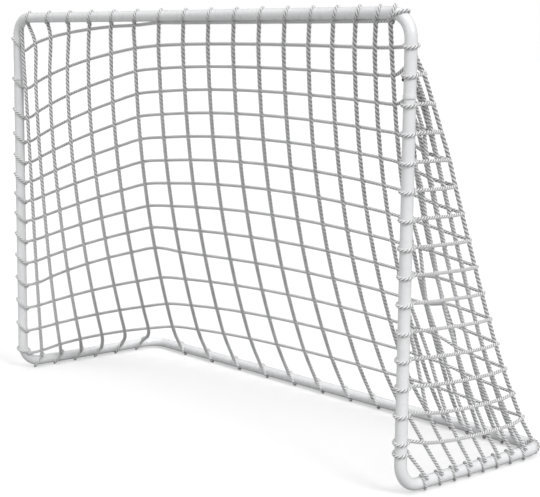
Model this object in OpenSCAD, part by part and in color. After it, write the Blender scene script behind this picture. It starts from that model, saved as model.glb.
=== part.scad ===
// Small soccer goal: a frame of four steel tubes that push together and lock with snap
// buttons, and a rope net that is wound round the tubes.
// The origin is on the ground, midway between the side rails and between the posts and
// the rear bar. +X runs along the crossbar, +Y from the goal mouth to the back, +Z up.

/* [Frame] */
// Width over the outsides of the posts
frame_w = 1830; // [1500:10:2400]
// Depth over the outsides of the front and rear tubes
frame_d = 610; // [500:10:900]
// Height over the outsides of the bottom and top tubes
frame_h = 1220; // [1100:10:1500]
// Outside diameter of the frame tube
tube_od = 32; // [28:0.5:38]
// Wall thickness of the frame tube
tube_wall = 1.5; // [1:0.1:2]
// Radius of a corner bend, at the middle of the tube
bend_r = 64; // [50:1:90]

/* [Tube joints] */
// Height of the post sockets' mouths above the middle of the rails
post_mouth_h = 982; // [900:1:1000]
// Distance of the rail sockets' mouths behind the middle of the posts
rail_mouth_d = 144; // [120:1:150]
// Length of neck inside a socket
neck_len = 72; // [60:1:90]
// Outside diameter of the swaged neck
neck_od = 28.6; // [26:0.1:29]
// Length of the taper from a post's full diameter down to its neck
taper_len = 24; // [10:1:30]
// Outside diameter of the rolled lip at a post socket's mouth
lip_od = 35; // [34:0.5:38]
// Height of the rolled lip
lip_h = 9; // [6:0.5:12]

/* [Snap buttons] */
// Diameter of a button
button_d = 8; // [6:0.5:9]
// How far a button stands out of the socket tube
button_proud = 4.6; // [3:0.1:6]
// Distance of a button from the mouth of its socket
button_offset = 45; // [40:1:50]
// Thickness of the spring strip
clip_t = 0.8; // [0.5:0.1:1]
// Width of the spring strip
clip_w = 8; // [6:0.5:8]

/* [Net] */
// Diameter of the net rope
rope_d = 8.8; // [6:0.2:9]
// Thickness of the rope where it is pressed flat under a ground tube
pressed_rope = 6; // [4:0.5:8]
// Clearance between a rope loop and its tube
loop_gap = 0.3; // [0.3:0.1:1]

/* [Hidden] */
$fn = 48;

eps = 0.01;
tube_r = tube_od / 2;
bore_r = tube_r - tube_wall;
neck_r = neck_od / 2;
neck_bore_r = neck_r - tube_wall;

// Centre lines of the frame
half_w = frame_w / 2 - tube_r;
half_d = frame_d / 2 - tube_r;
rail_z = pressed_rope + tube_r;
bar_z = rail_z + frame_h - tube_od;
rise = bar_z - rail_z;
post_mouth_z = rail_z + post_mouth_h;
rail_mouth_y = rail_mouth_d - half_d;

// Snap buttons and their holes
hole_play = 0.3;
flange_r = 5.5;
flange_t = 1;
flange_top = 11.2;
button_tip = tube_r + button_proud;
button_dome_r = 7;
leaf_out = flange_top - flange_t - 0.4;
leaf_back = 11.8;
leaf_over = 8;
leaf_under = 35;

// Rope loops and net
rope_r = rope_d / 2;
loop_r = tube_r + loop_gap + rope_r;
rope_end = loop_r + rope_r + rope_r + 2;
lacing = rope_d + 0.7;
lean = atan2(2 * half_d, rise);

// How the loops are spread along the tubes
crossbar_loops = 18;
left_post_loops = 14;
right_post_loops = 16;
rear_loops = 16;
left_rail_loops = 6;
right_rail_loops = 8;
back_rows = 13;
side_columns = 6;
bar_lap_1 = 0;
bar_lap_2 = 22;
foot_lap = 16;
net_start = [0, 26, -20];

// Distance of crossbar loop i from the middle of the bar; the last loops are on the bend
function bar_loop_x(i) = -833 + 122 * i - 0.00418 * pow(i, 4);
function bar_loop_angle(i) = i == crossbar_loops - 1 ? bar_lap_2 : bar_lap_1;
function on_bend(i) = i >= crossbar_loops - 2;
function bar_loop_pos(i) = on_bend(i)
    ? [half_w - bend_r + bend_r * sin(bar_loop_angle(i)), -half_d, bar_z - bend_r + bend_r * cos(bar_loop_angle(i))]
    : [bar_loop_x(i), -half_d, bar_z];

// Heights of the loops on the posts above the rails, wider apart where the net slid down
function left_share(k) = k / (left_post_loops - 1);
function left_loop_h(k) = 1102 - 81.2 * k - 920 * left_share(k) * pow(1 - left_share(k), 4);
function right_loop_h(k) = k < right_post_loops - 1 ? 1109 - 70.5 * k : 93;
// The lowest loop of the left post lies on its foot bend
function left_loop_pos(k) = k < left_post_loops - 1
    ? [-half_w, -half_d, rail_z + left_loop_h(k)]
    : [-half_w, -half_d + bend_r * (1 - cos(foot_lap)), rail_z + bend_r * (1 - sin(foot_lap))];

// Distances along the rear bar and behind the posts
function rear_loop_x(i) = i <= 9 ? -732 + 160 * i - 2.75 * i * i : 485 + 65 * (i - 9);
function left_rail_d(i) = 64 + 80 * i + 1.5 * i * i;
function right_rail_d(i) = 86 + 57.5 * i;

// Height of a back row above the rails, with the lowest rows spread out
function row_h(k) = 1183 - 74 * k - 28 * max(k - 8, 0);

// A column runs from just behind a loop on the crossbar or the right post to one near the ground
function behind_post(side, h) = [side * half_w, -half_d + rope_end, rail_z + h];
function column_top(c) = c == 0 ? behind_post(-1, rise - bend_r)
    : c <= crossbar_loops ? bar_loop_pos(c - 1) + net_start
    : behind_post(1, right_loop_h(crossbar_loops + 3 - c));
function column_foot(c) = c < side_columns ? [-half_w, left_rail_d(c) - half_d, rail_z]
    : c < side_columns + rear_loops - 1 ? [rear_loop_x(c - side_columns), half_d, rail_z]
    : corner_pos();
function corner_pos() = [half_w - bend_r + bend_r * sin(45), half_d - bend_r + bend_r * sin(45), rail_z];
function column_at(c, z) = let(a = column_top(c), b = column_foot(c)) a + (b - a) * (a[2] - z) / (a[2] - b[2]);

// ---- shared shapes ----

// The shape on the +X side and its mirror image
module both_sides() {
    children();
    mirror([1, 0, 0]) children();
}

// A quarter turn of round bar in the XY plane, from +X round to +Y
module quarter_bend(r) {
    rotate_extrude(angle = 90) translate([bend_r, 0]) circle(r);
}

// A hole along a tube's radius, which points to +X
module button_hole() {
    rotate([0, 90, 0]) cylinder(r = button_d / 2 + hole_play, h = tube_od);
}

// A straight rope from point a to point b, cut short at each end
module rope(a, b, cut_a, cut_b) {
    run = b - a;
    len = norm(run);
    translate(a)
        rotate([0, acos(run[2] / len), atan2(run[1], run[0])])
            translate([0, 0, cut_a])
                cylinder(r = rope_r, h = len - cut_a - cut_b);
}

// One turn of rope round a tube that runs along Z
module loop() {
    rotate_extrude() translate([loop_r, 0]) circle(rope_r);
}

// Whatever lies above the ground
module above_ground() {
    intersection() {
        children();
        translate([-frame_w, -frame_d, 0]) cube([2 * frame_w, 2 * frame_d, frame_h]);
    }
}

// ---- frame ----

module crossbar_bar(r, past_mouth) {
    translate([bend_r - half_w, -half_d, bar_z]) rotate([0, 90, 0]) cylinder(r = r, h = 2 * (half_w - bend_r));
    both_sides() {
        translate([half_w - bend_r, -half_d, bar_z - bend_r]) rotate([90, 0, 0]) quarter_bend(r);
        translate([half_w, -half_d, post_mouth_z - past_mouth])
            cylinder(r = r, h = bar_z - bend_r - post_mouth_z + past_mouth);
    }
}

// Top bar with its two corner bends and the two belled sockets that take the posts
module crossbar() {
    color("white") difference() {
        union() {
            crossbar_bar(tube_r, 0);
            both_sides() translate([half_w, -half_d, post_mouth_z]) cylinder(d = lip_od, h = lip_h);
        }
        crossbar_bar(bore_r, 1);
        both_sides() translate([half_w, -half_d, post_mouth_z - eps])
            cylinder(r1 = bore_r + 1, r2 = bore_r, h = lip_h / 2);
        translate([half_w, -half_d, post_mouth_z + button_offset]) rotate([0, 0, post_turn(1)]) button_hole();
        translate([-half_w, -half_d, post_mouth_z + button_offset]) rotate([0, 0, post_turn(-1)]) button_hole();
    }
}

// Direction of a post's snap button: inward on the right post, to the back on the left
function post_turn(side) = side > 0 ? 225 : 135;

module post_bar(r, r_neck, past) {
    foot_z = rail_z + bend_r;
    foot_y = bend_r - half_d;
    shoulder = 2;
    translate([0, -half_d, foot_z]) cylinder(r = r, h = post_mouth_z - taper_len - foot_z);
    translate([0, -half_d, post_mouth_z - taper_len]) cylinder(r1 = r, r2 = r_neck, h = taper_len - shoulder);
    translate([0, -half_d, post_mouth_z - shoulder]) cylinder(r = r_neck, h = neck_len + shoulder + past);
    translate([0, foot_y, foot_z]) rotate([90, 0, 90]) rotate([0, 0, 180]) quarter_bend(r);
    translate([0, foot_y, rail_z]) rotate([-90, 0, 0]) {
        cylinder(r = r, h = rail_mouth_y - foot_y - shoulder);
        translate([0, 0, rail_mouth_y - foot_y - shoulder]) cylinder(r1 = r, r2 = r_neck, h = shoulder);
        translate([0, 0, rail_mouth_y - foot_y]) cylinder(r = r_neck, h = neck_len + past);
    }
}

// Upright with a foot bend, and a swaged neck at each end
module post(side) {
    color("white") translate([side * half_w, 0, 0]) difference() {
        post_bar(tube_r, neck_r, 0);
        post_bar(bore_r, neck_bore_r, 1);
        translate([0, -half_d, post_mouth_z + button_offset]) rotate([0, 0, post_turn(side)]) button_hole();
        translate([0, rail_mouth_y + button_offset, rail_z]) rotate([0, 0, 180]) button_hole();
    }
}

module post_left() { post(-1); }
module post_right() { post(1); }

module rear_bar(r, past_mouth) {
    translate([bend_r - half_w, half_d, rail_z]) rotate([0, 90, 0]) cylinder(r = r, h = 2 * (half_w - bend_r));
    both_sides() {
        translate([half_w - bend_r, half_d - bend_r, rail_z]) quarter_bend(r);
        translate([half_w, rail_mouth_y - past_mouth, rail_z]) rotate([-90, 0, 0])
            cylinder(r = r, h = half_d - bend_r - rail_mouth_y + past_mouth);
    }
}

// Rear ground bar with its corner bends and the two side rails
module rear_frame() {
    color("white") difference() {
        rear_bar(tube_r, 0);
        rear_bar(bore_r, 1);
        for (side = [-1, 1])
            translate([side * half_w, rail_mouth_y + button_offset, rail_z]) rotate([0, 0, 180]) button_hole();
    }
}

// ---- snap buttons and leaf clips, in a frame whose +X points out of the tube ----

// Domed button with a flange that stops it inside the neck
module snap_button() {
    color("dimgray") rotate([0, 90, 0]) {
        intersection() {
            translate([0, 0, flange_top - eps]) cylinder(d = button_d, h = button_tip - flange_top + eps);
            translate([0, 0, button_tip - button_dome_r]) sphere(r = button_dome_r);
        }
        translate([0, 0, flange_top - flange_t]) cylinder(r = flange_r, h = flange_t);
    }
}

// Spring strip bent into a U, with one leaf behind the button and one on the far wall
module leaf_clip() {
    turn_r = (leaf_out + leaf_back) / 2;
    color("silver") rotate([90, 0, 0]) translate([0, 0, -clip_w / 2]) linear_extrude(clip_w) {
        translate([leaf_out - clip_t, -leaf_under]) square([clip_t, leaf_under + leaf_over]);
        translate([-leaf_back, -leaf_under]) square([clip_t, leaf_under + leaf_over]);
        translate([leaf_out - turn_r, -leaf_under]) intersection() {
            difference() {
                circle(turn_r);
                circle(turn_r - clip_t);
            }
            translate([-turn_r, -turn_r]) square([2 * turn_r, turn_r + eps]);
        }
    }
}

// Stand a button or clip in the neck at the top of a post
module in_post(side) {
    translate([side * half_w, -half_d, post_mouth_z + button_offset]) rotate([0, 0, post_turn(side)]) children();
}

// Lay a button or clip in the neck at the front of a side rail, facing -X
module in_rail(side) {
    translate([side * half_w, rail_mouth_y + button_offset, rail_z])
        rotate([0, 0, 180]) rotate([90, 0, 0]) children();
}

module snap_button_post_left() { in_post(-1) snap_button(); }
module snap_button_post_right() { in_post(1) snap_button(); }
module snap_button_rail_left() { in_rail(-1) snap_button(); }
module snap_button_rail_right() { in_rail(1) snap_button(); }
module leaf_clip_post_left() { in_post(-1) leaf_clip(); }
module leaf_clip_post_right() { in_post(1) leaf_clip(); }
module leaf_clip_rail_left() { in_rail(-1) leaf_clip(); }
module leaf_clip_rail_right() { in_rail(1) leaf_clip(); }

// ---- net ----

// Top row, laid along the underside of the crossbar
module net_header_rope() {
    drop = rope_end + 1;
    hang = 60;
    left_end = [-half_w, -half_d, rail_z + left_loop_h(0)];
    bar_start = [bar_loop_x(6), -half_d - 2, bar_z - drop];
    bar_end = [half_w - bend_r - hang, -half_d - 2, bar_z - drop];
    color("gainsboro") {
        rope(left_end, bar_start, rope_end, rope_r);
        rope(bar_start, bar_end, rope_r, 0);
    }
}

// Columns of the back net: to the rear bar, and the last one to the right rear corner
module net_back_columns() {
    color("gainsboro") for (c = [side_columns : side_columns + rear_loops - 1])
        rope(column_top(c), column_foot(c), 0, rope_end);
}

// Level rows of the back net, one rope behind its columns
module net_back_rows() {
    out = lacing * [0, cos(lean), sin(lean)];
    right_x = half_w - rope_end;
    color("gainsboro") for (k = [1 : back_rows]) {
        start = column_at(side_columns, rail_z + row_h(k)) + out;
        rope(start, [right_x, start[1], start[2]], 0, 0);
    }
}

// Columns at the left, which cut the corner from the crossbar to the left rail
module net_left_columns() {
    color("gainsboro") for (c = [0 : side_columns - 1])
        rope(column_top(c), column_foot(c), 0, rope_end);
}

// Rows at the left, from the post round the left columns to the back net
module net_left_rows() {
    middle = side_columns / 2;
    inward = [0, -lacing, 0];
    color("gainsboro") for (k = [1 : back_rows]) {
        post_end = left_loop_pos(k);
        back_end = column_at(side_columns, rail_z + row_h(k)) + inward;
        bend = column_at(middle, (post_end[2] + back_end[2]) / 2) + inward;
        rope(post_end, bend, rope_end, rope_r);
        rope(bend, back_end, rope_r, rope_d);
    }
}

// Side columns at the right, parallel to the sloping edge of the net
module net_right_columns() {
    lowest = right_post_loops - 2;
    color("gainsboro") for (i = [0 : right_rail_loops - 1]) {
        top = behind_post(1, right_loop_h(max(lowest - 2 * i, 1)));
        rope(top, [half_w, right_rail_d(i) - half_d, rail_z], 0, rope_end);
    }
}

// Level rows at the right, outside the side columns, from the post to the sloping edge rope
module net_right_rows() {
    edge = side_columns + rear_loops - 1;
    color("gainsboro") for (k = [2 : right_post_loops - 1]) {
        z = rail_z + right_loop_h(k);
        far = column_at(edge, z);
        rope([half_w + lacing, -half_d, z], [half_w + lacing, far[1], z], rope_end, 3 * rope_r);
    }
}

module loops_crossbar() {
    color("gainsboro") {
        for (i = [0 : crossbar_loops - 3]) translate(bar_loop_pos(i)) rotate([0, 90, 0]) loop();
        for (i = [crossbar_loops - 2, crossbar_loops - 1])
            translate(bar_loop_pos(i)) rotate([0, 90 + bar_loop_angle(i), 0]) loop();
    }
}

module loops_post_left() {
    color("gainsboro") for (k = [0 : left_post_loops - 1])
        translate(left_loop_pos(k)) rotate([k < left_post_loops - 1 ? 0 : foot_lap, 0, 0]) loop();
}

module loops_post_right() {
    color("gainsboro") for (k = [0 : right_post_loops - 1])
        translate([half_w, -half_d, rail_z + right_loop_h(k)]) loop();
}

module loops_rail_left() {
    color("gainsboro") above_ground() for (i = [0 : left_rail_loops - 1])
        translate([-half_w, left_rail_d(i) - half_d, rail_z]) rotate([90, 0, 0]) loop();
}

module loops_rail_right() {
    color("gainsboro") above_ground() for (i = [0 : right_rail_loops - 1])
        translate([half_w, right_rail_d(i) - half_d, rail_z]) rotate([90, 0, 0]) loop();
}

module loops_rear_bar() {
    color("gainsboro") above_ground() {
        for (i = [0 : rear_loops - 2]) translate([rear_loop_x(i), half_d, rail_z]) rotate([0, 90, 0]) loop();
        translate(corner_pos()) rotate([90, 0, 45]) loop();
    }
}

crossbar();
post_left();
post_right();
rear_frame();
snap_button_post_left();
snap_button_post_right();
snap_button_rail_left();
snap_button_rail_right();
leaf_clip_post_left();
leaf_clip_post_right();
leaf_clip_rail_left();
leaf_clip_rail_right();
net_header_rope();
net_back_columns();
net_back_rows();
net_left_columns();
net_left_rows();
net_right_columns();
net_right_rows();
loops_crossbar();
loops_post_left();
loops_post_right();
loops_rail_left();
loops_rail_right();
loops_rear_bar();
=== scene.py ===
"""Small soccer goal: powder-coated tube frame and a laced rope net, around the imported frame."""
import math

import bpy
import numpy as np
from mathutils import Matrix, Vector


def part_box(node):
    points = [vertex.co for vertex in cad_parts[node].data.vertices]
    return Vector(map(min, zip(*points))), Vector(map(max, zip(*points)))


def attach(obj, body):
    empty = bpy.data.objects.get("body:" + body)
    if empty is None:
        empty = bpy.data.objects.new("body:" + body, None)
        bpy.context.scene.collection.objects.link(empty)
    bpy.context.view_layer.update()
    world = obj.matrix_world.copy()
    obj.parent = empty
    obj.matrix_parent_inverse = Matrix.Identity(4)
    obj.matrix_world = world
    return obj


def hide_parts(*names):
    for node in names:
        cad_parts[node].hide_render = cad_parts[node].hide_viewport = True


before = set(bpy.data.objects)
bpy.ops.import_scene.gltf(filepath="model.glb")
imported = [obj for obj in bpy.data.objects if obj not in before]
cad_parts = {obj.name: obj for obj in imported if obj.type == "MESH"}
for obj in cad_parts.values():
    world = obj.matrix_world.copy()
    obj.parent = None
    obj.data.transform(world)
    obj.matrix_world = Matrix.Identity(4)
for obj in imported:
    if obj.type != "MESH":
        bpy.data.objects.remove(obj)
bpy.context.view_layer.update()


# ---- camera ----

CAMERA_PLACE = (3.189, -2.767, 1.1305)
CAMERA_TURNS = (-48.44, 8.43, 0.6)  # yaw, downward pitch and roll, in degrees
CAMERA_LENS = 91.8


def make_camera():
    """Stands to the right of the goal mouth, near the height of the crossbar, looking down a little."""
    yaw, pitch, roll = (math.radians(a) for a in CAMERA_TURNS)
    forward = Vector((math.sin(yaw) * math.cos(pitch), math.cos(yaw) * math.cos(pitch),
                      -math.sin(pitch)))
    level = Vector((math.cos(yaw), -math.sin(yaw), 0))
    upright = level.cross(forward)
    right = level * math.cos(roll) + upright * math.sin(roll)
    up = upright * math.cos(roll) - level * math.sin(roll)
    data = bpy.data.cameras.new("camera")
    data.lens = CAMERA_LENS
    data.sensor_width = 36
    camera = bpy.data.objects.new("camera", data)
    turn = Matrix((right, up, -forward)).transposed()
    camera.matrix_world = Matrix.Translation(CAMERA_PLACE) @ turn.to_4x4()
    bpy.context.scene.collection.objects.link(camera)
    bpy.context.scene.camera = camera


make_camera()

# ---- sizes, in metres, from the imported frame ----

rear_low, rear_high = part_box("rear_frame")
bar_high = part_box("crossbar")[1]
TUBE_R = (rear_high[2] - rear_low[2]) / 2
HALF_W = rear_high[0] - TUBE_R
HALF_D = rear_high[1] - TUBE_R
RAIL_Z = rear_low[2] + TUBE_R
BAR_Z = bar_high[2] - TUBE_R
BEND_R = 0.064

# Radii of the ropes over their strands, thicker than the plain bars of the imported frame
COLUMN_R = 0.0064
ROW_R = 0.0054
SIDE_COLUMN_R = 0.0054
WRAP_R = 0.0050
RAIL_WRAP_R = 0.0036
WRAP_PATH_R = TUBE_R + 0.5 * WRAP_R
# Distance from a tube's middle to the middle of a rope that leaves it
LOOP_R = 0.0207

# Loops on each tube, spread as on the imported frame
BAR_LOOPS, LEFT_LOOPS, RIGHT_LOOPS, REAR_LOOPS = 18, 14, 16, 16
LEFT_RAIL_LOOPS, RIGHT_RAIL_LOOPS = 6, 8
BAR_BEND_LAPS = (0.0, math.radians(22))
FOOT_LAP = math.radians(16)
LEFT_COLUMNS = 6
EDGE = LEFT_COLUMNS + REAR_LOOPS - 1
ROWS = 13


def vec(x, y, z):
    return np.array((x, y, z), float)


def bar_loop(i):
    """Centre of crossbar loop i and how far round the corner bend it lies."""
    if i >= BAR_LOOPS - 2:
        lap = BAR_BEND_LAPS[i - BAR_LOOPS + 2]
        x = HALF_W - BEND_R + BEND_R * math.sin(lap)
        return vec(x, -HALF_D, BAR_Z - BEND_R + BEND_R * math.cos(lap)), lap
    return vec(-0.833 + 0.122 * i - 4.18e-6 * i ** 4, -HALF_D, BAR_Z), 0.0


def left_loop(k):
    """Centre of loop k on the left post; the lowest lies on the foot bend."""
    if k == LEFT_LOOPS - 1:
        back = BEND_R * (1 - math.cos(FOOT_LAP))
        return vec(-HALF_W, back - HALF_D, RAIL_Z + BEND_R * (1 - math.sin(FOOT_LAP)))
    share = k / (LEFT_LOOPS - 1)
    return vec(-HALF_W, -HALF_D, RAIL_Z + 1.102 - 0.0812 * k - 0.92 * share * (1 - share) ** 4)


def right_loop(k):
    """Centre of loop k on the right post; the last two lie close together."""
    return vec(HALF_W, -HALF_D, RAIL_Z + (1.109 - 0.0705 * k if k < RIGHT_LOOPS - 1 else 0.093))


def rear_loop(i):
    """Centre of rear bar loop i, closer together towards the right."""
    x = -0.732 + 0.16 * i - 0.00275 * i * i if i <= 9 else 0.485 + 0.065 * (i - 9)
    return vec(x, HALF_D, RAIL_Z)


def left_rail_loop(i):
    return vec(-HALF_W, 0.064 + 0.08 * i + 0.0015 * i * i - HALF_D, RAIL_Z)


def right_rail_loop(i):
    return vec(HALF_W, 0.086 + 0.0575 * i - HALF_D, RAIL_Z)


def corner_loop():
    """Centre of the loop halfway round the right rear bend."""
    reach = BEND_R * math.sin(math.radians(45))
    return vec(HALF_W - BEND_R + reach, HALF_D - BEND_R + reach, RAIL_Z)


# ---- materials ----

def new_material(name):
    material = bpy.data.materials.new(name)
    material.use_nodes = True
    nodes = material.node_tree.nodes
    nodes.clear()
    output = nodes.new("ShaderNodeOutputMaterial")
    shader = nodes.new("ShaderNodeBsdfPrincipled")
    material.node_tree.links.new(shader.outputs["BSDF"], output.inputs["Surface"])
    return material, shader


def add_node(material, kind, **settings):
    """A node of that kind with its inputs set by name."""
    node = material.node_tree.nodes.new(kind)
    for name, value in settings.items():
        if name in node.inputs:
            node.inputs[name].default_value = value
        else:
            setattr(node, name, value)
    return node


def link(material, start, end):
    material.node_tree.links.new(start, end)


def noise(material, scale, detail=3.0, roughness=0.55):
    place = add_node(material, "ShaderNodeTexCoord")
    node = add_node(material, "ShaderNodeTexNoise", Scale=scale, Detail=detail, Roughness=roughness)
    link(material, place.outputs["Object"], node.inputs["Vector"])
    return node


def ramp(material, source, *stops):
    """A colour ramp over source, with (position, grey or colour) stops."""
    node = add_node(material, "ShaderNodeValToRGB")
    elements = node.color_ramp.elements
    while len(elements) < len(stops):
        elements.new(0.5)
    for element, (position, colour) in zip(elements, stops):
        element.position = position
        if not isinstance(colour, tuple):
            colour = (colour, colour, colour)
        element.color = (*colour, 1)
    link(material, source, node.inputs["Fac"])
    return node


def bump(material, shader, height, strength, distance):
    node = add_node(material, "ShaderNodeBump", Strength=strength, Distance=distance)
    link(material, height, node.inputs["Height"])
    link(material, node.outputs["Normal"], shader.inputs["Normal"])
    return node


def white_powder_coat():
    """Glossy white powder coat with a faint orange peel and slight clouding."""
    material, shader = new_material("white_powder_coat")
    cloud = noise(material, 5, 4)
    tint = ramp(material, cloud.outputs["Fac"], (0.3, (0.80, 0.81, 0.82)), (0.7, (0.86, 0.865, 0.87)))
    link(material, tint.outputs["Color"], shader.inputs["Base Color"])
    haze = noise(material, 40, 3)
    gloss = ramp(material, haze.outputs["Fac"], (0.3, 0.24), (0.7, 0.34))
    link(material, gloss.outputs["Color"], shader.inputs["Roughness"])
    shader.inputs["Coat Weight"].default_value = 0.35
    shader.inputs["Coat Roughness"].default_value = 0.12
    peel = noise(material, 420, 2)
    bump(material, shader, peel.outputs["Fac"], 0.18, 0.0004)
    return material


def zinc_steel(name, dark, light, rough_low, rough_high):
    """Plated steel with drawn grain and small bright wear marks."""
    material, shader = new_material(name)
    grain = noise(material, 900, 5, 0.7)
    tint = ramp(material, grain.outputs["Fac"], (0.35, dark), (0.75, light))
    link(material, tint.outputs["Color"], shader.inputs["Base Color"])
    rub = noise(material, 250, 3)
    rough = ramp(material, rub.outputs["Fac"], (0.3, rough_low), (0.7, rough_high))
    link(material, rough.outputs["Color"], shader.inputs["Roughness"])
    shader.inputs["Metallic"].default_value = 0.85
    bump(material, shader, grain.outputs["Fac"], 0.2, 0.0002)
    return material


def twisted_rope():
    """White three-strand rope: fibres that run with the lay, painted shade that darkens the grooves, and
    faint dirt.
    """
    material, shader = new_material("twisted_rope")
    # Painted shade: the groove depth turns the colour from near white on the strands' crowns to dark grey at
    # the bottom of each groove.
    groove = add_node(material, "ShaderNodeAttribute", attribute_name="groove")
    painted_groove_shade = ramp(material, groove.outputs["Fac"], (0.0, (0.90, 0.90, 0.905)), (0.3, (0.83, 0.83, 0.84)),
                 (0.65, (0.36, 0.36, 0.37)), (1.0, (0.15, 0.15, 0.155)))
    uv = add_node(material, "ShaderNodeUVMap", uv_map="rope")
    fibre = add_node(material, "ShaderNodeTexNoise", Scale=1.0, Detail=4.0, Roughness=0.65)
    stretch = add_node(material, "ShaderNodeMapping")
    stretch.inputs["Scale"].default_value = (46, 230, 1)
    link(material, uv.outputs["UV"], stretch.inputs["Vector"])
    link(material, stretch.outputs["Vector"], fibre.inputs["Vector"])
    fleck = ramp(material, fibre.outputs["Fac"], (0.3, 0.86), (0.65, 1.0))
    dirt = noise(material, 9, 4)
    worn = ramp(material, dirt.outputs["Fac"], (0.35, (0.93, 0.925, 0.915)), (0.65, 1.0))
    first = add_node(material, "ShaderNodeMixRGB", blend_type="MULTIPLY", Fac=1.0)
    link(material, painted_groove_shade.outputs["Color"], first.inputs["Color1"])
    link(material, fleck.outputs["Color"], first.inputs["Color2"])
    second = add_node(material, "ShaderNodeMixRGB", blend_type="MULTIPLY", Fac=1.0)
    link(material, first.outputs["Color"], second.inputs["Color1"])
    link(material, worn.outputs["Color"], second.inputs["Color2"])
    link(material, second.outputs["Color"], shader.inputs["Base Color"])
    rough = ramp(material, fibre.outputs["Fac"], (0.3, 0.62), (0.7, 0.82))
    link(material, rough.outputs["Color"], shader.inputs["Roughness"])
    shader.inputs["Sheen Weight"].default_value = 0.25
    bump(material, shader, fibre.outputs["Fac"], 0.5, 0.0006)
    return material


PAINT = white_powder_coat()
BUTTON = zinc_steel("black_zinc", (0.05, 0.05, 0.055), (0.13, 0.13, 0.14), 0.3, 0.5)
SPRING = zinc_steel("spring_steel", (0.34, 0.35, 0.37), (0.55, 0.56, 0.58), 0.2, 0.4)
ROPE = twisted_rope()


def dress_cad_nodes():
    """Give the tubes, buttons and clips their materials."""
    finishes = {"snap_button": BUTTON, "leaf_clip": SPRING}
    for name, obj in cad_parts.items():
        material = next((m for start, m in finishes.items() if name.startswith(start)), PAINT)
        obj.data.materials.clear()
        obj.data.materials.append(material)


dress_cad_nodes()


# ---- the relaxed form of the net ----

class Net:
    """Rope crossings joined by pulling segments; the free ones settle where the pulls balance."""

    def __init__(self):
        self.places = {}
        self.held = set()
        self.pulls = []

    def hold(self, key, place):
        self.places[key] = np.array(place, float)
        self.held.add(key)

    def run(self, keys, pull):
        for a, b in zip(keys, keys[1:]):
            self.places.setdefault(a, None)
            self.places.setdefault(b, None)
            self.pulls.append((a, b, pull(a, b)))

    def relax(self):
        free = [key for key in self.places if key not in self.held]
        index = {key: i for i, key in enumerate(free)}
        matrix = np.zeros((len(free), len(free)))
        load = np.zeros((len(free), 3))
        for a, b, pull in self.pulls:
            for one, other in ((a, b), (b, a)):
                if one in index:
                    matrix[index[one], index[one]] += pull
                    if other in index:
                        matrix[index[one], index[other]] -= pull
                    else:
                        load[index[one]] += pull * self.places[other]
        for key, place in zip(free, np.linalg.solve(matrix, load)):
            self.places[key] = place


# The crossings that the net's ropes pass.
# A column c and a row k cross at ("n", c, k); two short rows ("x", c, e) join in at the right.
# Rows 2 and up end at knot e of the sloping edge rope, which a side row ties to the right post.
EDGE_KNOT = {1: 0, 2: 1, 3: 2, **{k: k for k in range(4, 11)}, 11: 12, 12: 13, 13: 14}
SHORT_ROWS = {3: 3, 11: 10}
SIDE_ROWS = 14
# The loop of the right post that each side column starts from
SIDE_STARTS = (15, 13, 10, 9, 6, 4, 2, 1)
LOW_ROWS = 11  # rows from here down lie further apart in the left panel


def resting_height(c, key):
    """Height of a left panel crossing, between the left post's loops and even rows."""
    if key[0] == "top":
        return BAR_Z - LOOP_R
    if key[0] == "foot":
        return RAIL_Z + 0.6 * LOOP_R
    row = key[2] if key[0] == "n" else 0
    gaps = [1 / (1 + 0.58 * (7 - k) / 7) / (1 if k < LOW_ROWS else 0.58) for k in range(1, ROWS + 2)]
    even = BAR_Z - 0.02 - (BAR_Z - RAIL_Z - 0.03) * sum(gaps[:row]) / sum(gaps)
    evenness = (c / (LEFT_COLUMNS + 1)) ** 0.2
    return evenness * even + (1 - evenness) * (left_loop(row)[2] - 0.012)


def column_pull(c):
    """Pull along column c, by the lower end of each segment."""
    def beside_post(a, b):
        base = 20.0 if c == 0 else 1.0 if c == LEFT_COLUMNS else 0.138
        return base * 0.08 / max(resting_height(c, a) - resting_height(c, b), 0.004)

    def across_back(a, b):
        k = b[2] if b[0] == "n" else ROWS + 1 if b[0] == "foot" else 4
        above = (7 - k) / 7
        right = (c - 13) / 6
        base = 600.0 if c == EDGE else 1.0
        return base * (1 + 0.32 * above - 0.21 * above * right) * (1 + 0.8 * right + 0.08 * right * right)

    return beside_post if c <= LEFT_COLUMNS else across_back


ROW_PULL = 0.47
SIDE_ROW_PULL = 2.0
SIDE_COLUMN_PULL = 1.4
HEADER_PULL = 2.5 * ROW_PULL


def row_pull(k):
    """Pull along row k, stronger low down and towards the left post."""
    above = (7 - k) / 7

    def pull(a, b):
        left = max(0, LEFT_COLUMNS - (-1 if a[0] == "left" else a[1])) / 7
        return ROW_PULL * (1 + 1.42 * left ** 3.44 * (1 + 0.9 * above)) * (1 - 0.57 * above)

    return pull


def knot_key(e):
    """The crossing where side row e meets the edge rope."""
    if e in SHORT_ROWS:
        return ("x", EDGE, e)
    return ("n", EDGE, next(k for k, knot in EDGE_KNOT.items() if knot == e))


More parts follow.
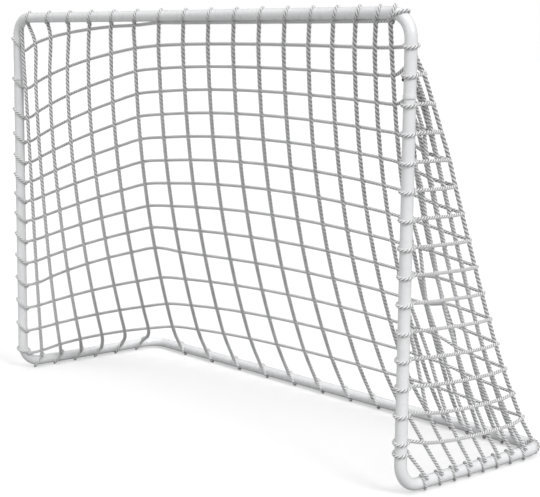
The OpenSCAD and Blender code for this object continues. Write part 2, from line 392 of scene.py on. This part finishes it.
def hold_net(net):
    """Fix the points where ropes leave the tubes."""
    net.hold(("top", 0), (0.027 - HALF_W, -0.001 - HALF_D, BAR_Z - 0.038))
    for c in range(1, BAR_LOOPS + 1):
        centre, lap = bar_loop(c - 1)
        inward = vec(-math.sin(lap), 0, -math.cos(lap))
        net.hold(("top", c), centre + 0.95 * LOOP_R * inward + vec(-0.012, 0.3 * LOOP_R, 0))
        if c > LEFT_COLUMNS:
            net.hold(("header", c), centre + (TUBE_R + 0.8 * ROW_R) * inward + vec(-0.012, 0, 0))
    net.hold(("lead", BAR_LOOPS), net.places[("top", BAR_LOOPS)] + vec(0, 0.7 * LOOP_R, 0.01))
    net.hold(("top", BAR_LOOPS), (HALF_W - 0.018, LOOP_R - HALF_D, BAR_Z - 0.045))
    for c in range(BAR_LOOPS + 1, EDGE + 1):
        net.hold(("top", c), right_loop(EDGE - c) + 0.7 * vec(-LOOP_R, LOOP_R, 0))
    for c in range(LEFT_COLUMNS):
        net.hold(("foot", c), left_rail_loop(c) + vec(0.8 * LOOP_R, 0, 0.6 * LOOP_R))
    for c in range(LEFT_COLUMNS, EDGE):
        net.hold(("foot", c), rear_loop(c - LEFT_COLUMNS) + vec(0, -0.75 * LOOP_R, 0.66 * LOOP_R))
    net.hold(("foot", EDGE), corner_loop() + vec(0.3 * LOOP_R, -0.3 * LOOP_R, 0.9 * LOOP_R))
    for k in range(LEFT_LOOPS):
        net.hold(("left", k), left_loop(k) + vec(LOOP_R, 0.2 * LOOP_R, -0.012))
    for k in range(RIGHT_LOOPS):
        net.hold(("right", k), right_loop(k) + vec(0, LOOP_R, 0))
    for i in range(RIGHT_RAIL_LOOPS):
        net.hold(("rail", i), right_rail_loop(i) + vec(0.8 * LOOP_R, 0, 0.6 * LOOP_R))


def crossings(c):
    """The crossings that column c passes between its two ends, from the top down."""
    if c < BAR_LOOPS:
        keys = [("n", c, k) for k in range(1, ROWS + 1)]
    elif c == BAR_LOOPS:
        keys = [("n", c, k) for k in range(2, ROWS + 1)]
    else:
        keys = [("n", c, k) for k in range(1, ROWS + 1) if EDGE_KNOT[k] > EDGE - c]
    if c >= BAR_LOOPS:
        for e, above in SHORT_ROWS.items():
            spots = [i for i, key in enumerate(keys) if key[0] == "n" and key[2] <= above]
            keys.insert(spots[-1] + 1 if spots else 0, ("x", c, e))
    if c <= LEFT_COLUMNS:
        keys.insert(0, ("header", c))
    return keys


def lay_net():
    """Build the net, let it settle and return it with its ropes by kind."""
    net = Net()
    hold_net(net)
    ropes = {"columns": [], "rows": [], "side_columns": [], "side_rows": []}
    for c in range(EDGE + 1):
        keys = [("top", c), *crossings(c), ("foot", c)]
        net.run(keys, column_pull(c))
        if c == BAR_LOOPS:
            keys.insert(0, ("lead", c))
        ropes["columns"].append(keys)
    header = [("left", 0)] + [("header", c) for c in range(BAR_LOOPS + 1)]
    net.run(header[:LEFT_COLUMNS + 3], lambda a, b: HEADER_PULL)
    ropes["header"] = [header]
    for k in range(1, ROWS + 1):
        passed = [("n", c, k) for c in range(EDGE + 1) if ("n", c, k) in net.places]
        if EDGE_KNOT[k] == 0:
            passed.append(("right", 0))
        keys = [("left", k), *passed]
        net.run(keys, row_pull(k))
        ropes["rows"].append(keys)
    for e in SHORT_ROWS:
        keys = [("x", c, e) for c in range(BAR_LOOPS, EDGE + 1)]
        net.run(keys, lambda a, b: ROW_PULL)
        ropes["rows"].append(keys)
    for e in range(1, SIDE_ROWS + 1):
        passed = [("s", i, e) for i in range(RIGHT_RAIL_LOOPS) if SIDE_STARTS[i] < e]
        keys = [("right", e), *passed, knot_key(e)]
        net.run(keys, lambda a, b: SIDE_ROW_PULL)
        ropes["side_rows"].append(keys)
    for i, start in enumerate(SIDE_STARTS):
        passed = [("s", i, e) for e in range(start + 1, SIDE_ROWS + 1)]
        keys = [("right", start), *passed, ("rail", i)]
        net.run(keys, lambda a, b: SIDE_COLUMN_PULL)
        ropes["side_columns"].append(keys)
    net.relax()
    bulge_edge(net)
    return net, ropes


BULGE_OUT = 0.022
BULGE_IN = 0.028


def bulge_edge(net):
    """Shape the settled net: its right edge stands out above and is drawn in below."""
    for key, place in net.places.items():
        if key[0] in ("n", "x") and key[1] > BAR_LOOPS:
            share = (key[1] - BAR_LOOPS) / 3
        elif key[0] == "s":
            share = (key[1] + 1) / (RIGHT_RAIL_LOOPS + 1)
        else:
            continue
        down = min(max(1 - (place[2] - RAIL_Z) / (BAR_Z - RAIL_Z - 0.08), 0), 1)
        out = BULGE_OUT * math.sin(math.pi * down ** 0.33) - BULGE_IN * math.sin(math.pi * down ** 2)
        place[1] += share * out


NET, ROPES = lay_net()

# ---- rope meshes ----

STRANDS = 3
SIDES = 12
STEP = 0.0026  # distance between cross-sections
# Length of one full turn of the strands
COLUMN_LAY = 0.040
ROW_LAY = 0.030
WRAP_LAY = 0.028
GROOVE = 0.60  # radius at the bottom of a groove, as a share of the rope's
PRESS_GAP = 0.0002  # between a tube and the rope pressed on it


def smooth_path(points):
    """Points at about even spacing on a centripetal curve through the given points."""
    points = [np.asarray(p, float) for p in points]
    if len(points) == 2:
        count = max(2, int(np.linalg.norm(points[1] - points[0]) / STEP))
        shares = np.linspace(0, 1, count + 1)
        return np.array([points[0] + (points[1] - points[0]) * t for t in shares])
    padded = [2 * points[0] - points[1], *points, 2 * points[-1] - points[-2]]
    path = [points[0]]
    for i in range(1, len(padded) - 2):
        p0, p1, p2, p3 = padded[i - 1:i + 3]
        t1 = np.linalg.norm(p1 - p0) ** 0.5
        t2 = t1 + np.linalg.norm(p2 - p1) ** 0.5
        t3 = t2 + np.linalg.norm(p3 - p2) ** 0.5
        count = max(1, int(round(np.linalg.norm(p2 - p1) / STEP)))
        t = np.linspace(t1, t2, count + 1)[1:, None]
        a1 = (t1 - t) / t1 * p0 + t / t1 * p1
        a2 = (t2 - t) / (t2 - t1) * p1 + (t - t1) / (t2 - t1) * p2
        a3 = (t3 - t) / (t3 - t2) * p2 + (t - t2) / (t3 - t2) * p3
        b1 = (t2 - t) / t2 * a1 + t / t2 * a2
        b2 = (t3 - t) / (t3 - t1) * a2 + (t - t1) / (t3 - t1) * a3
        path.extend((t2 - t) / (t2 - t1) * b1 + (t - t1) / (t2 - t1) * b2)
    return np.array(path)


def along(path, closed):
    """Distance from the path's start to each of its points, and its whole length."""
    ends = np.roll(path, -1, axis=0) if closed else path[1:]
    lengths = np.linalg.norm(ends - path[:len(ends)], axis=1)
    total = np.concatenate(([0.0], np.cumsum(lengths)))
    return (total[:-1], total[-1]) if closed else (total, total[-1])


def carried_frames(path, closed):
    """Two directions square to the path at each point, carried along it without twisting."""
    if closed:
        tangent = np.roll(path, -1, axis=0) - np.roll(path, 1, axis=0)
    else:
        tangent = np.gradient(path, axis=0)
    tangent /= np.linalg.norm(tangent, axis=1)[:, None]
    guess = vec(0, 0, 1) if abs(tangent[0][2]) < 0.8 else vec(1, 0, 0)
    side = np.cross(tangent[0], guess)
    sides = [side / np.linalg.norm(side)]
    for direction in tangent[1:]:
        side = sides[-1] - direction * np.dot(sides[-1], direction)
        sides.append(side / np.linalg.norm(side))
    sides = np.array(sides)
    return sides, np.cross(tangent, sides)


class RopeMesh:
    """Collects twisted ropes into one mesh, with a groove depth, which the rope's colour turns into painted
    shade, and a rope UV on each point.
    """

    def __init__(self, radius, lay):
        self.radius = radius
        self.lay = lay
        self.caps = []
        self.points = []
        self.faces = []
        self.groove = []
        self.uv = []
        self.count = 0

    def add(self, path, closed=False, start_turn=0.0, core=None):
        """Sweep a three-strand cross-section along the path, turning with the lay.

        core is a tube's centre and axis, which the rope is pressed flat against.
        """
        path = np.asarray(path, float)
        distance, length = along(path, closed)
        side, up = carried_frames(path, closed)
        turns = length / self.lay
        if closed:
            turns = max(1, round(turns * STRANDS)) / STRANDS
        turn = start_turn - 2 * math.pi * turns * distance / length
        angle = 2 * math.pi * np.arange(SIDES) / SIDES
        lobe = np.abs(np.cos(STRANDS * angle / 2))
        radius = self.radius * (GROOVE + (1 - GROOVE) * lobe ** 0.6)
        around = angle[None, :] + turn[:, None]
        across = radius[None, :, None] * (np.cos(around)[:, :, None] * side[:, None, :]
                                          + np.sin(around)[:, :, None] * up[:, None, :])
        rings = path[:, None, :] + across
        if core is not None:
            rings = self.pressed(rings, *core)
        total = len(path)
        self.points.append(rings.reshape(-1, 3))
        self.groove.append(np.tile(1 - lobe, total))
        rows = np.arange(total if closed else total - 1)
        nearer = self.count + rows[:, None] * SIDES + np.arange(SIDES)[None, :]
        further_row = (rows + 1) % total
        further = self.count + further_row[:, None] * SIDES + np.arange(SIDES)[None, :]
        shift = 0
        if closed:
            shift = int(round(turns * SIDES)) % SIDES
        next_near = np.roll(nearer, -1, axis=1)
        next_far = np.roll(further, -1, axis=1)
        if shift:
            further[-1] = np.roll(further[-1], -shift)
            next_far[-1] = np.roll(next_far[-1], -shift)
        self.faces.append(np.stack([nearer, next_near, next_far, further], axis=2).reshape(-1, 4))
        u = distance[:, None] + 0 * angle[None, :]
        v = angle[None, :] * self.radius + 0 * distance[:, None]
        self.uv.append(np.stack([u, v], axis=2).reshape(-1, 2))
        if not closed:
            self.caps.append((self.count, self.count + (total - 1) * SIDES))
        self.count += total * SIDES

    @staticmethod
    def pressed(rings, centre, axis):
        """Move points that lie inside the tube out to its surface."""
        offset = rings - centre
        lengthwise = (offset @ axis)[..., None] * axis
        radial = offset - lengthwise
        distance = np.linalg.norm(radial, axis=-1, keepdims=True)
        return centre + lengthwise + radial * np.maximum(1, (TUBE_R + PRESS_GAP) / distance)

    def build(self, name, body, replaced=()):
        points = np.concatenate(self.points)
        faces = np.concatenate(self.faces)
        mesh = bpy.data.meshes.new(name)
        ends = []
        for first, last in self.caps:
            ends.append([first + i for i in reversed(range(SIDES))])
            ends.append([last + i for i in range(SIDES)])
        points[:, 2] = np.maximum(points[:, 2], 0.0)
        mesh.from_pydata(points.tolist(), [], faces.tolist() + ends)
        mesh.polygons.foreach_set("use_smooth", [True] * len(mesh.polygons))
        groove = mesh.attributes.new("groove", "FLOAT", "POINT")
        groove.data.foreach_set("value", np.concatenate(self.groove).astype(np.float32))
        layer = mesh.uv_layers.new(name="rope")
        corner = np.empty(len(mesh.loops), np.int32)
        mesh.loops.foreach_get("vertex_index", corner)
        layer.data.foreach_set("uv", np.concatenate(self.uv)[corner].astype(np.float32).ravel())
        mesh.materials.append(ROPE)
        obj = bpy.data.objects.new(name, mesh)
        bpy.context.scene.collection.objects.link(obj)
        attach(obj, body)
        if replaced:
            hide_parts(*replaced)
        return obj


def find_normals():
    """Normals of the settled net at its crossings, from the ropes that pass each one."""
    directions = {}
    for kind, lists in ROPES.items():
        family = 0 if "columns" in kind else 1
        for keys in lists:
            for i, key in enumerate(keys):
                before = NET.places[keys[max(i - 1, 0)]]
                after = NET.places[keys[min(i + 1, len(keys) - 1)]]
                directions.setdefault(key, {}).setdefault(family, after - before)
    inside = vec(0.1, -0.55, 0.25)
    normals = {}
    for key, found in directions.items():
        if len(found) == 2:
            normal = np.cross(found[0], found[1])
            normal /= max(np.linalg.norm(normal), 1e-9)
            toward = inside - NET.places[key]
            normals[key] = normal if np.dot(normal, toward) > 0 else -normal
    return normals


NORMALS = find_normals()


def rope_points(keys, offset):
    """The places a rope passes, held to one side of the net where it crosses another rope."""
    points = []
    for key in keys:
        place = NET.places[key].copy()
        if key[0] in ("n", "x", "s", "header") and key in NORMALS:
            place += offset * NORMALS[key]
        points.append(place)
    return points


def add_ropes(name, lists, radius, offset, replaced=()):
    ropes = RopeMesh(radius, ROW_LAY if radius == ROW_R else COLUMN_LAY)
    for i, keys in enumerate(lists):
        ropes.add(smooth_path(rope_points(keys, offset)), start_turn=2.1 * i)
    return ropes.build(name, "frame", replaced)


def loop_path(centre, axis, high, tilt):
    """One turn of rope round a tube; its side towards high is tilt further along axis."""
    first = high - axis * np.dot(high, axis)
    first /= np.linalg.norm(first)
    second = np.cross(axis, first)
    count = int(round(2 * math.pi * WRAP_PATH_R / STEP))
    angle = np.linspace(0, 2 * math.pi, count, endpoint=False)[:, None]
    return (centre + WRAP_PATH_R * (np.cos(angle) * first + np.sin(angle) * second)
            + axis * tilt * np.cos(angle))


def add_loops(name, replaced, loops, radius=WRAP_R):
    ropes = RopeMesh(radius, WRAP_LAY)
    for i, (centre, axis, high, tilt) in enumerate(loops):
        axis = axis / np.linalg.norm(axis)
        path = loop_path(centre, axis, high, tilt)
        ropes.add(path, closed=True, start_turn=1.3 * i, core=(centre, axis))
    return ropes.build(name, "frame", (replaced,))


def build_net():
    """Every rope of the net and every turn round a tube."""
    columns = ROPES["columns"]
    add_ropes("net_columns_left", columns[:LEFT_COLUMNS], COLUMN_R, 0.8 * ROW_R, ("net_left_columns",))
    add_ropes("net_columns_back", columns[LEFT_COLUMNS:], COLUMN_R, 0.8 * ROW_R, ("net_back_columns",))
    rows = ROPES["rows"]
    add_ropes("net_rows_upper", rows[:7], ROW_R, -0.8 * COLUMN_R, ("net_left_rows",))
    add_ropes("net_rows_lower", rows[7:], ROW_R, -0.8 * COLUMN_R, ("net_back_rows",))
    add_ropes("net_header", ROPES["header"], ROW_R, 0.0, ("net_header_rope",))
    add_ropes("net_side_columns", ROPES["side_columns"], SIDE_COLUMN_R, 0.8 * ROW_R, ("net_right_columns",))
    add_ropes("net_side_rows", ROPES["side_rows"], ROW_R, -0.8 * COLUMN_R, ("net_right_rows",))
    x_axis, y_axis, z_axis = vec(1, 0, 0), vec(0, 1, 0), vec(0, 0, 1)
    bar = []
    for i in range(BAR_LOOPS):
        centre, lap = bar_loop(i)
        high = vec(math.sin(lap), 0, math.cos(lap)) if lap else vec(0, -0.87, 0.5)
        bar.append((centre, vec(math.cos(lap), 0, -math.sin(lap)), high, 0.019))
    add_loops("wraps_crossbar", "loops_crossbar", bar)
    left = [(left_loop(k), z_axis, vec(-0.66, -0.75, 0), 0.018) for k in range(LEFT_LOOPS - 1)]
    foot_axis = vec(0, -math.sin(FOOT_LAP), math.cos(FOOT_LAP))
    left.append((left_loop(LEFT_LOOPS - 1), foot_axis, vec(-0.66, -0.75, 0), 0.010))
    add_loops("wraps_post_left", "loops_post_left", left)
    right = [(right_loop(k), z_axis, vec(-0.5, 0.96, 0), 0.005) for k in range(RIGHT_LOOPS)]
    add_loops("wraps_post_right", "loops_post_right", right)
    rail_left = [(left_rail_loop(i), y_axis, vec(-0.64, 0, 0.78), 0.022) for i in range(LEFT_RAIL_LOOPS)]
    add_loops("wraps_rail_left", "loops_rail_left", rail_left)
    rail_right = [(right_rail_loop(i), y_axis, vec(-0.85, 0, -0.53), 0.014) for i in range(RIGHT_RAIL_LOOPS)]
    add_loops("wraps_rail_right", "loops_rail_right", rail_right, RAIL_WRAP_R)
    rear = [(rear_loop(i), x_axis, vec(0, -0.81, -0.58), 0.022) for i in range(REAR_LOOPS - 1)]
    rear.append((corner_loop(), vec(1, -1, 0), vec(-1, -1, -1), 0.005))
    add_loops("wraps_rear_bar", "loops_rear_bar", rear)


build_net()


# ---- floor, light and background ----

FLOOR_REACH = 80
FLOOR_LIFT = 0.45  # light the floor adds for the camera, so that it fades into the background
GLOW = 0.36  # brightness of the surroundings as they light the goal


def make_floor():
    """Pale paper that is lifted towards white for the camera only, and a darker grey in bounced light."""
    mesh = bpy.data.meshes.new("floor")
    reach = FLOOR_REACH
    corners = [(-reach, -reach, 0), (reach, -reach, 0), (reach, reach, 0), (-reach, reach, 0)]
    mesh.from_pydata(corners, [], [(0, 1, 2, 3)])
    floor = bpy.data.objects.new("floor", mesh)
    bpy.context.scene.collection.objects.link(floor)
    material, shader = new_material("floor_paper")
    grain = noise(material, 60, 4)
    tint = ramp(material, grain.outputs["Fac"], (0.3, 0.56), (0.7, 0.58))
    path = add_node(material, "ShaderNodeLightPath")
    colour = add_node(material, "ShaderNodeMixRGB", Color1=(0.4, 0.4, 0.4, 1))
    link(material, path.outputs["Is Camera Ray"], colour.inputs["Fac"])
    link(material, tint.outputs["Color"], colour.inputs["Color2"])
    link(material, colour.outputs["Color"], shader.inputs["Base Color"])
    lift = add_node(material, "ShaderNodeMath", operation="MULTIPLY")
    lift.inputs[1].default_value = FLOOR_LIFT
    link(material, path.outputs["Is Camera Ray"], lift.inputs[0])
    link(material, lift.outputs["Value"], shader.inputs["Emission Strength"])
    shader.inputs["Roughness"].default_value = 0.9
    shader.inputs["Emission Color"].default_value = (1, 1, 1, 1)
    mesh.materials.append(material)


def make_sun(name, toward, strength, spread):
    """An even light from the toward direction, spread over that many degrees."""
    data = bpy.data.lights.new(name, "SUN")
    data.energy = strength
    data.angle = math.radians(spread)
    light = bpy.data.objects.new(name, data)
    light.rotation_euler = Vector(toward).to_track_quat("Z", "Y").to_euler()
    bpy.context.scene.collection.objects.link(light)


def make_world():
    """White to the camera, and a softer even glow on the goal."""
    world = bpy.data.worlds.new("studio")
    world.use_nodes = True
    tree = world.node_tree
    seen = tree.nodes["Background"]
    seen.inputs["Color"].default_value = (1, 1, 1, 1)
    seen.inputs["Strength"].default_value = 1.0
    glow = tree.nodes.new("ShaderNodeBackground")
    glow.inputs["Color"].default_value = (1, 1, 1, 1)
    glow.inputs["Strength"].default_value = GLOW
    path = tree.nodes.new("ShaderNodeLightPath")
    mix = tree.nodes.new("ShaderNodeMixShader")
    tree.links.new(path.outputs["Is Camera Ray"], mix.inputs["Fac"])
    tree.links.new(glow.outputs["Background"], mix.inputs[1])
    tree.links.new(seen.outputs["Background"], mix.inputs[2])
    tree.links.new(mix.outputs["Shader"], tree.nodes["World Output"].inputs["Surface"])
    bpy.context.scene.world = world


make_floor()
make_world()
make_sun("key", (0.80, -0.05, 0.60), 1.75, 25)
make_sun("top", (0.0, -0.2, 1.0), 1.2, 70)
make_sun("fill", (0.1, -0.9, 0.5), 0.45, 60)
bpy.context.scene.view_settings.view_transform = "Standard"
